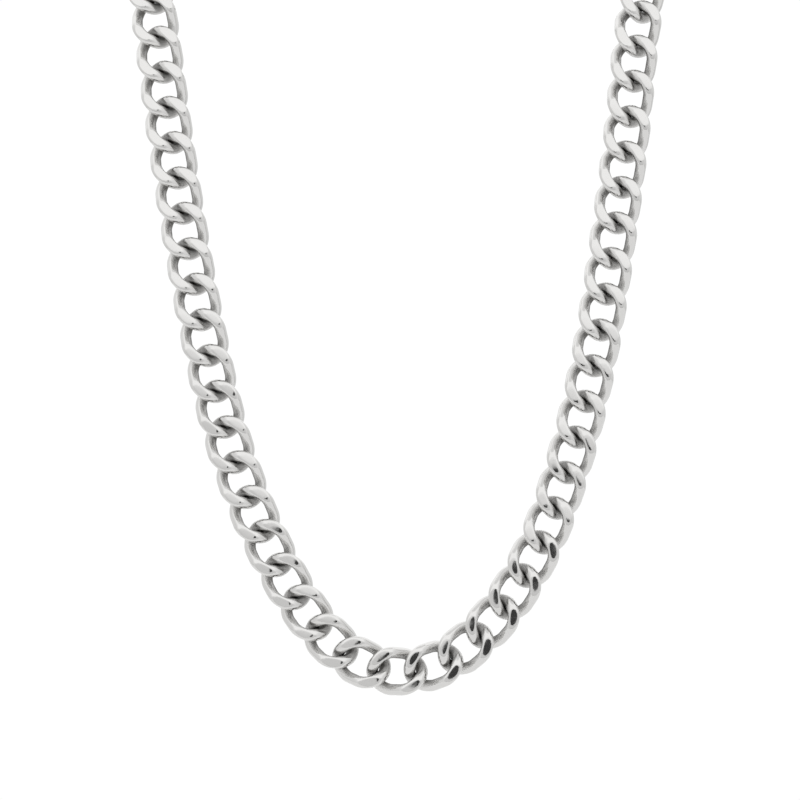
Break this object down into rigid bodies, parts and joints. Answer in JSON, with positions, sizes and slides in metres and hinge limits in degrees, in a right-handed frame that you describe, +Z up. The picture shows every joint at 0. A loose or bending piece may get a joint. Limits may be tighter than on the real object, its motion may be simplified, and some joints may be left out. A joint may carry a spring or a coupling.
{
  "type": "curb chain necklace",
  "caption": "Curb chain necklace of twisted oval links with ground flats, closed at the nape by a clasp between jump rings.",
  "frame": {"origin": "on the nape of the neck, under the clasp's middle, where the chain lies when worn", "axes": "+Z up; the front of the chain hangs down along -Z and faces -Y; +X is to the right of someone who looks at the front"},
  "size_m": [0.1209, 0.1005, 0.1701],
  "materials": {
    "chain_steel": "polished, with fine scratches on the ground flats and a duller, darker wire inside the links",
    "clasp_steel": "polished"
  },
  "bodies": {
    "root": {"chain_left": "chain_steel", "chain_right": "chain_steel", "clasp_ring": "clasp_steel", "clasp": "clasp_steel", "end_ring": "clasp_steel"}
  },
  "joints": []
}
